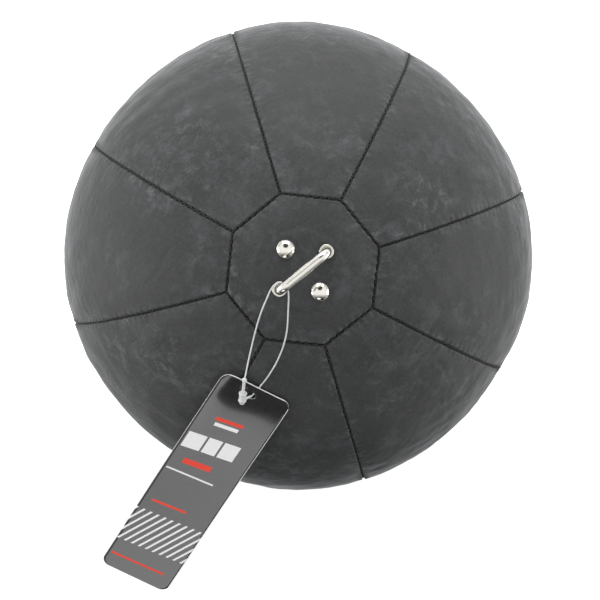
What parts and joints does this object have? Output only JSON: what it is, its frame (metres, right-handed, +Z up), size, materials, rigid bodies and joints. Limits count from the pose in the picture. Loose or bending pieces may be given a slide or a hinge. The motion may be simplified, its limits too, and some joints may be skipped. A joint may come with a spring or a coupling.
{
  "type": "medicine ball",
  "caption": "Stuffed leather medicine ball of gores and octagonal caps, with a riveted steel hanging bar and a card hang tag on a nylon loop.",
  "frame": {"origin": "where the ball rests on the floor, under its centre", "axes": "+Z up through the centre to the pole that carries the hanging bar; X along the bar; Y through the two rivets"},
  "size_m": [0.3164, 0.26, 0.2714],
  "materials": {
    "leather": "matte",
    "backing_leather": "matte",
    "thread": "waxed",
    "canvas": "woven",
    "bar_steel": "satin zinc",
    "plate_steel": "zinc",
    "eyelet_nickel": "nickel",
    "rivet_nickel": "polished nickel",
    "burr_brass": "plain",
    "wadding": "felted",
    "bag_canvas": "woven",
    "weight_sand": "granular",
    "nylon": "translucent white",
    "tag_card": "gloss laminate"
  },
  "bodies": {
    "ball": {"top_cap": "leather", "bottom_cap": "leather", "gore_1": "leather", "gore_2": "leather", "gore_3": "leather", "gore_4": "leather", "gore_5": "leather", "gore_6": "leather", "gore_7": "leather", "gore_8": "leather", "seam_thread_1": "thread", "seam_thread_2": "thread", "seam_thread_3": "thread", "seam_thread_4": "thread", "seam_thread_5": "thread", "seam_thread_6": "thread", "seam_thread_7": "thread", "seam_thread_8": "thread", "top_cap_thread": "thread", "bottom_cap_thread": "thread", "lining_gore_1": "canvas", "lining_gore_2": "canvas", "lining_gore_3": "canvas", "lining_gore_4": "canvas", "lining_gore_5": "canvas", "lining_gore_6": "canvas", "lining_gore_7": "canvas", "lining_gore_8": "canvas", "lining_top_ring": "canvas", "lining_bottom_cap": "canvas", "backing_disc": "backing_leather", "anchor_plate": "plate_steel", "bar_nut_1": "plate_steel", "bar_nut_2": "plate_steel", "eyelet_washer_1": "plate_steel", "eyelet_washer_2": "plate_steel", "hanging_bar": "bar_steel", "eyelet_1": "eyelet_nickel", "eyelet_2": "eyelet_nickel", "rivet_1": "rivet_nickel", "rivet_2": "rivet_nickel", "rivet_burr_1": "burr_brass", "rivet_burr_2": "burr_brass", "wadding": "wadding", "weight_bag": "bag_canvas", "weight_fill": "weight_sand"},
    "loop": {"tag_loop": "nylon", "loop_lock": "nylon"},
    "tag": {"hang_tag": "tag_card"}
  },
  "joints": [
    {"name": "loop_swing", "type": "hinge", "parent": "ball", "child": "loop", "pos_m": [-0.0118, 0, 0.265], "axis": [0, 1, 0], "range_deg": [0, 95]},
    {"name": "tag_turn", "type": "hinge", "parent": "loop", "child": "tag", "pos_m": [-0.06189, -0.03519, 0.2413], "axis": [-0.394, -0.3078, 0.866], "range_deg": [-30, 30]}
  ]
}
